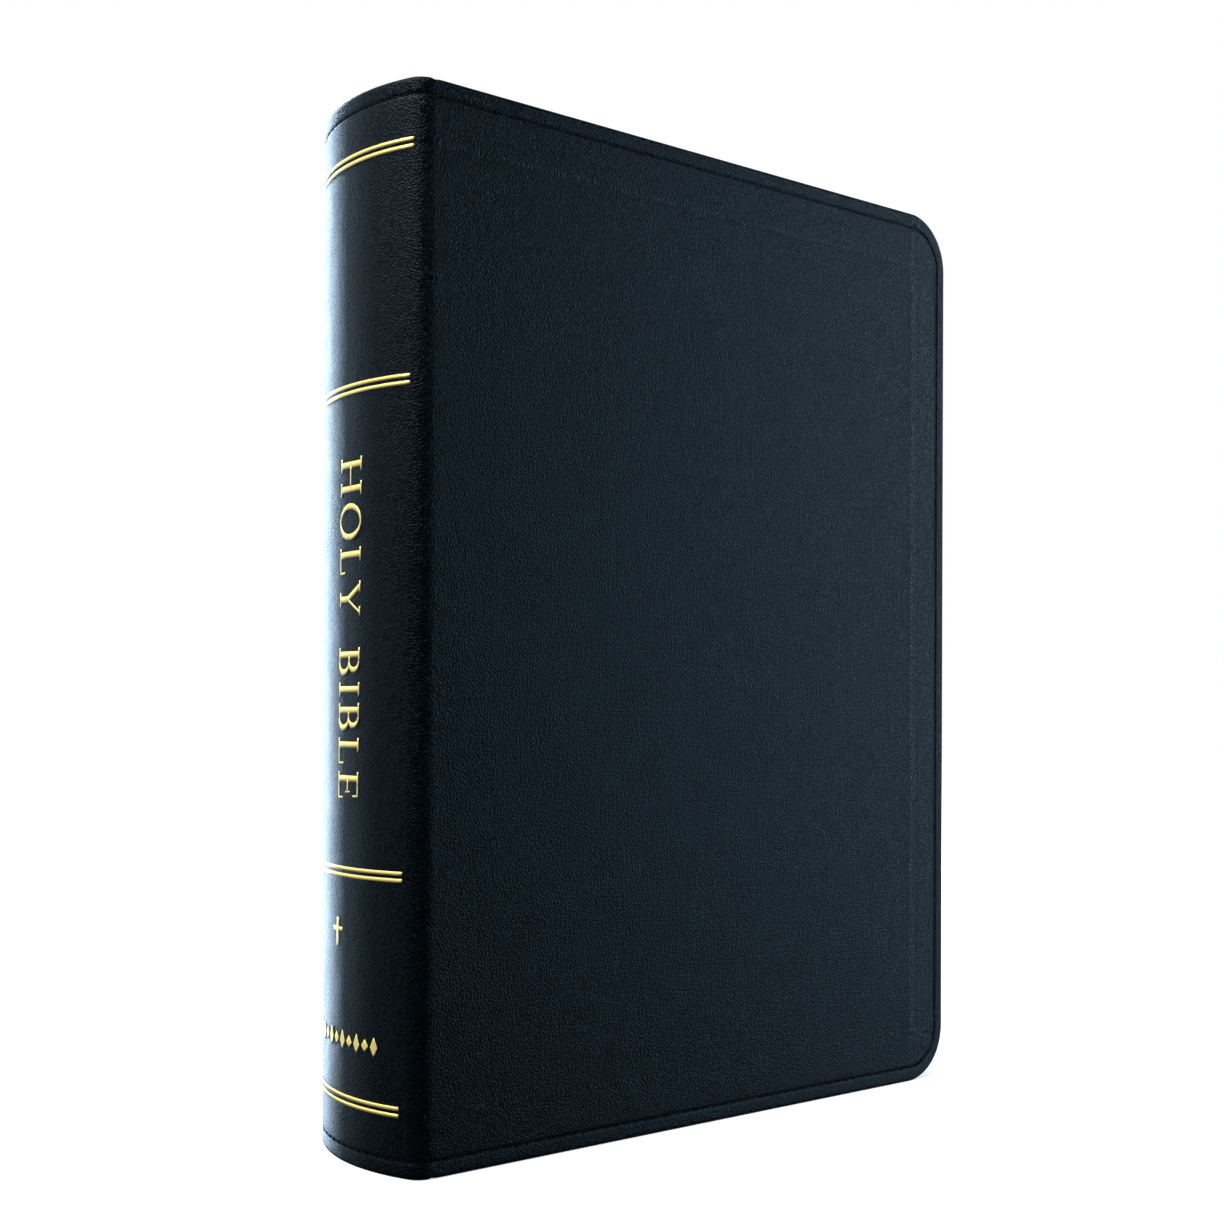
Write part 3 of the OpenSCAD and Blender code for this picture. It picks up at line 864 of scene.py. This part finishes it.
for name, side in SIDES.items():
    for k in range(1, GROUPS + 1):
        group = 2 * GROUPS + 1 - k if side > 0 else k - 1
        node = f"{name}_sections_{k}"
        pages = stack(f"{name}_pages_{k}", page_levels(group), PAGE_BEND_MM, 1.5, [paper, gilt_edge])
        bend_with(pages, side, node)
        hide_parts(node)
middle_pages = stack("middle_pages", page_levels(GROUPS), PAGE_BEND_MM, 1.5, [paper, gilt_edge])
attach(middle_pages, "spine")
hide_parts("middle_sections", "section_folds")
print(2 * GROUPS + 1, "groups of pages,", round(PITCH * GROUP_SECTIONS, 2), "mm each")

# %% [markdown]
# ## Endpapers
# The first and last leaves of a Bible like this are heavier black paper, embossed with a fine
# leather grain. One half of each endpaper is pasted to the inside of the cover, over the edges
# of the turned-in leather, and the other half is free and turns with the pages.

# %% Endpaper material
endpaper, tree = new_material("embossed_black_endpaper")
place = add(tree, "Attribute", attribute_name="cut_mm").outputs["Vector"]
EMBOSS_MM = 1.1
cells = add(tree, "TexVoronoi", {"Vector": place, "Scale": 1 / EMBOSS_MM}, feature="SMOOTH_F1").outputs[0]
fibres = add(tree, "TexNoise", {"Vector": place, "Scale": 0.7, "Detail": 6.0}).outputs[0]
bump = add(tree, "Bump", {"Height": cells, "Strength": 0.5, "Distance": 0.00012})
black = add(tree, "Mix", {0: fibres, 6: colour("#121417"), 7: colour("#1E2124")}, data_type="RGBA").outputs[2]
surface = add(tree, "BsdfPrincipled", {"Base Color": black, "Roughness": 0.62, "IOR": 1.5,
                                       "Normal": bump.outputs[0]})
add(tree, "OutputMaterial", {0: surface.outputs[0]})


# %% [markdown]
# ## Card
# The stiffening inside each cover is thin grey binder's card. It is hidden by the leather, but
# a book is also looked at in section, so it gets its own grey, pressed-pulp surface.

# %% Card material
card, tree = new_material("grey_binders_card")
place = add(tree, "TexCoord").outputs["Object"]
pulp = add(tree, "TexNoise", {"Vector": place, "Scale": 900.0, "Detail": 5.0}).outputs[0]
bump = add(tree, "Bump", {"Height": pulp, "Strength": 0.4, "Distance": 0.0001})
grey = add(tree, "Mix", {0: pulp, 6: colour("#84796A"), 7: colour("#A89D8C")}, data_type="RGBA").outputs[2]
surface = add(tree, "BsdfPrincipled", {"Base Color": grey, "Roughness": 0.85, "Normal": bump.outputs[0]})
add(tree, "OutputMaterial", {0: surface.outputs[0]})


# %% Endpapers and card on the book
def cover_level(depth, inset, back=HINGE_Y):
    """A cover's outline drawn inside its edge, at a depth under the outer face."""
    return (HALF_T - depth, back, FORE_Y - inset, inset, COVER_H - inset, max(CORNER_R - inset, 1))


def mirrored(levels, side):
    """The same outlines on the side that is asked for."""
    return [(side * level[0], *level[1:]) for level in levels]


PASTED_INSET, FILL_INSET = 6.5, 13.1
CARD_INSET, CARD_BACK = 1.3, HINGE_Y + 5
pasted = [cover_level(2.25, PASTED_INSET), cover_level(2.1, PASTED_INSET),
          cover_level(2.09, FILL_INSET), cover_level(1.72, FILL_INSET)]
stiffening = [cover_level(depth, CARD_INSET, CARD_BACK) for depth in (1.66, 0.95)]
leaf_x0, leaf_x1 = leaf_low.x, leaf_high.x
free_leaf = [(x, HINGE_Y, PAGE_FORE, PAGE_Z0, PAGE_Z1, PAGE_R) for x in (leaf_x0, leaf_x1)]
for name, side in SIDES.items():
    mirror = side < 0
    pastedown = stack(name + "_pasted_endpaper", mirrored(pasted, side), BEND_MM, 1, [endpaper], mirror)
    bend_with(pastedown, side, name + "_cover")
    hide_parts(name + "_pastedown")
    board = stack(name + "_card", mirrored(stiffening, side), BEND_MM, 1, [card], mirror)
    bend_with(board, side, name + "_cover")
    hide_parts(name + "_cover_board")
    flyleaf = stack(name + "_free_endpaper", mirrored(free_leaf, side), PAGE_BEND_MM, 1.5, [endpaper], mirror)
    bend_with(flyleaf, side, name + "_flyleaf")
    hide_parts(name + "_flyleaf")
print("endpapers", round(leaf_x1 - leaf_x0, 2), "mm thick")

# %% [markdown]
# ## Head and tail bands
# A band is a strip of cloth with a padded edge, woven in two colours of silk and glued across
# the back of the pages so that the bead just shows. The bead is swept along the spine's curve,
# and its surface rises and falls with each turn of silk, about 0.8 mm apart.

# %% Silk material
silk, tree = new_material("striped_band_silk")
place = add(tree, "Attribute", attribute_name="cut_mm").outputs["Vector"]
SILK_MM = 0.8
along = add(tree, "SeparateXYZ", {0: place}).outputs[0]
turns = add(tree, "Math", {0: along, 1: 2 * SILK_MM}, operation="DIVIDE").outputs[0]
share = add(tree, "Math", {0: turns}, operation="FRACT").outputs[0]
stripe = add(tree, "Math", {0: share, 1: 0.5}, operation="GREATER_THAN").outputs[0]
strands = add(tree, "TexNoise", {"Vector": place, "Scale": 6.0, "Detail": 2.0}).outputs[0]
bump = add(tree, "Bump", {"Height": strands, "Strength": 0.4, "Distance": 0.00005})
dyed = add(tree, "Mix", {0: stripe, 6: colour("#D9B558"), 7: colour("#F1ECDD")}, data_type="RGBA").outputs[2]
surface = add(tree, "BsdfPrincipled", {"Base Color": dyed, "Roughness": 0.5, "Normal": bump.outputs[0],
                                       "Sheen Weight": 0.3})
add(tree, "OutputMaterial", {0: surface.outputs[0]})

# %% Bands on the book
BAND_W, BAND_H = 1.8, 2.0
BAND_INSET = 2.5
BAND_SIDES = 12
for name, node in (("headband_silk", "headband"), ("tailband_silk", "tailband")):
    low, high = size_mm(node)
    middle = (low.z + high.z) / 2
    points, places, faces = [], [], []
    reach = arch_length(math.radians(84))
    steps = round(2 * reach / SILK_MM * 8)
    for i in range(steps + 1):
        length = -reach + 2 * reach * i / steps
        swell = 1 - 0.09 * (0.5 - 0.5 * math.cos(2 * math.pi * length / SILK_MM))
        for k in range(BAND_SIDES):
            a = 2 * math.pi * k / BAND_SIDES
            depth = BAND_INSET + BAND_W / 2 - swell * BAND_W / 2 * math.cos(a)
            x, y = arch_at(arch_turn(length), depth)
            points.append((x, y, middle + swell * BAND_H / 2 * math.sin(a)))
            places.append((length, a, middle))
    for i in range(steps):
        for k in range(BAND_SIDES):
            a, b = i * BAND_SIDES + k, i * BAND_SIDES + (k + 1) % BAND_SIDES
            faces.append((a, b, b + BAND_SIDES, a + BAND_SIDES))
    faces.append(tuple(range(BAND_SIDES))[::-1])
    faces.append(tuple(range(steps * BAND_SIDES, (steps + 1) * BAND_SIDES)))
    band = build(name, points, faces, places, [silk])
    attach(band, "spine")
    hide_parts(node)
print("bands", BAND_W, "by", BAND_H, "mm,", steps, "steps along each")

# %% [markdown]
# ## Behind the pages
# Between the pages' back and the leather lie the sewing threads, a strip of open cotton cloth
# called mull, and a paper lining. They show only down the gap between spine and pages when the
# book is open, so they keep their measured shapes and get a material each: an open weave for
# the mull, brown kraft for the lining and a twisted linen thread.

# %% Mull, lining and sewing thread
mull, tree = new_material("cotton_mull")
place = add(tree, "TexCoord").outputs["Object"]
WEAVE_MM = 0.9
weave_place = add(tree, "VectorMath", {0: place, 1: (1 / WEAVE_MM / MM,) * 3},
                  operation="MULTIPLY").outputs[0]
weave = add(tree, "TexBrick", {"Vector": weave_place, "Scale": 1.0, "Color1": (1, 1, 1, 1),
                               "Color2": (0.8, 0.8, 0.8, 1), "Mortar": (0, 0, 0, 1)}).outputs[0]
bump = add(tree, "Bump", {"Height": weave, "Strength": 0.5, "Distance": 0.0001})
cotton = add(tree, "Mix", {0: weave, 6: colour("#B8AF98"), 7: colour("#E6DFCC")}, data_type="RGBA").outputs[2]
surface = add(tree, "BsdfPrincipled", {"Base Color": cotton, "Roughness": 0.9, "Normal": bump.outputs[0]})
add(tree, "OutputMaterial", {0: surface.outputs[0]})

kraft, tree = new_material("brown_kraft_paper")
place = add(tree, "TexCoord").outputs["Object"]
fibres = add(tree, "TexNoise", {"Vector": place, "Scale": 700.0, "Detail": 6.0}).outputs[0]
bump = add(tree, "Bump", {"Height": fibres, "Strength": 0.3, "Distance": 0.00008})
brown = add(tree, "Mix", {0: fibres, 6: colour("#8C6A45"), 7: colour("#B28E62")}, data_type="RGBA").outputs[2]
surface = add(tree, "BsdfPrincipled", {"Base Color": brown, "Roughness": 0.8, "Normal": bump.outputs[0]})
add(tree, "OutputMaterial", {0: surface.outputs[0]})

linen, tree = new_material("linen_sewing_thread")
place = add(tree, "TexCoord").outputs["Object"]
twist = add(tree, "TexWave", {"Vector": place, "Scale": 500.0, "Distortion": 1.0},
            bands_direction="DIAGONAL").outputs[1]
bump = add(tree, "Bump", {"Height": twist, "Strength": 0.5, "Distance": 0.00008})
# Painted shade: the grooves of the twist are darker, where shade falls between the plies.
linen_with_groove_shade = add(tree, "Mix", {0: twist, 6: colour("#C9BC9C"), 7: colour("#EFE7D2")}, data_type="RGBA").outputs[2]
surface = add(tree, "BsdfPrincipled", {"Base Color": linen_with_groove_shade, "Roughness": 0.7, "Normal": bump.outputs[0]})
add(tree, "OutputMaterial", {0: surface.outputs[0]})

for node, material in (("spine_stiffener", card), ("spine_mull", mull), ("spine_paper_lining", kraft),
                       ("sewing_threads", linen)):
    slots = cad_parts[node].data.materials
    slots.clear()
    slots.append(material)
print("four inner parts finished")

# %% [markdown]
# ## The studio
# A black book is lit by what it reflects. A bright panel stands behind and to the left, so the
# round of the spine catches it at a glancing angle, and two dimmer ones carry that light on
# round the curve. A narrow panel behind the outer edge makes the cover lighter from hinge to
# edge. A high panel in front lights the gold and the pages, and a dim one hangs overhead. The
# floor is pale and glows white, but its glow is painted dimmer close to the book as a painted
# shadow. It is kept out of the book's reflections, or its glow would grey the leather.

# %% Floor
floor_paint, tree = new_material("pale_floor")
speck = add(tree, "TexNoise", {"Scale": 40.0, "Detail": 3.0}).outputs[0]
pale = add(tree, "Mix", {0: speck, 6: colour("#F6F6F6"), 7: colour("#FFFFFF")}, data_type="RGBA").outputs[2]
floor_place = add(tree, "TexCoord").outputs["Object"]
from_book = add(tree, "VectorMath", {0: floor_place}, operation="LENGTH").outputs["Value"]
# The floor glows evenly white far from the book; its glow is painted down to 0.6 near the book as a painted
# shadow.
glow_and_painted_shadow = add(tree, "MapRange", {"Value": from_book, "From Min": 0.1, "From Max": 0.5,
                              "To Min": 0.6, "To Max": 1.0})
surface = add(tree, "BsdfPrincipled", {"Base Color": pale, "Roughness": 0.9, "Emission Color": (1, 1, 1, 1),
                                       "Emission Strength": glow_and_painted_shadow.outputs[0]})
add(tree, "OutputMaterial", {0: surface.outputs[0]})
bpy.ops.mesh.primitive_circle_add(vertices=96, radius=3, fill_type="NGON")
floor = bpy.context.object
floor.name = "floor"
floor.data.materials.append(floor_paint)
floor.visible_glossy = False
floor.visible_diffuse = False
floor.visible_shadow = False


# %% Lights
def panel(name, azimuth, distance, height, width, tall, power, tint="#FFFFFF"):
    """A soft panel at an azimuth in degrees from +X towards +Y, aimed at the book."""
    light = bpy.data.lights.new(name, "AREA")
    light.shape = "RECTANGLE"
    light.size, light.size_y = width, tall
    light.energy = power
    light.color = colour(tint)[:3]
    lamp = bpy.data.objects.new(name, light)
    bpy.context.collection.objects.link(lamp)
    a = math.radians(azimuth)
    lamp.location = (distance * math.cos(a), distance * math.sin(a), height)
    aim = BOOK_MIDDLE - lamp.location
    lamp.rotation_mode = "QUATERNION"
    lamp.rotation_quaternion = aim.to_track_quat("-Z", "Y")
    lamp.visible_camera = False


SKY = "#CBE6FF"
AWAY, SIDE_HEIGHT, TALL = 1.6, 0.35, 1.6
for name, azimuth, width, power in (("panel_behind_right", 61, 0.28, 29),
                                    ("panel_behind_left", 175, 0.4, 34),
                                    ("panel_left_back", 190, 0.3, 4), ("panel_left", 212, 0.5, 5)):
    panel(name, azimuth, AWAY, SIDE_HEIGHT, width, TALL, power, SKY)
panel("panel_front_high", -92, 0.95, 1.35, 1.0, 1.0, 44)
panel("panel_overhead", -40, 0.5, 1.8, 1.2, 1.2, 6)

world = bpy.data.worlds.new("studio")
bpy.context.scene.world = world
world.use_nodes = True
world.node_tree.nodes.clear()
tree = world.node_tree
seen = add(tree, "LightPath").outputs["Is Camera Ray"]
dim = add(tree, "Background", {"Color": (0.6, 0.75, 0.9, 1), "Strength": 0.06})
white = add(tree, "Background", {"Color": (1, 1, 1, 1), "Strength": 1.0})
both = add(tree, "MixShader", {0: seen, 1: dim.outputs[0], 2: white.outputs[0]})
add(tree, "OutputWorld", {0: both.outputs[0]})
bpy.context.scene.view_settings.view_transform = "Standard"
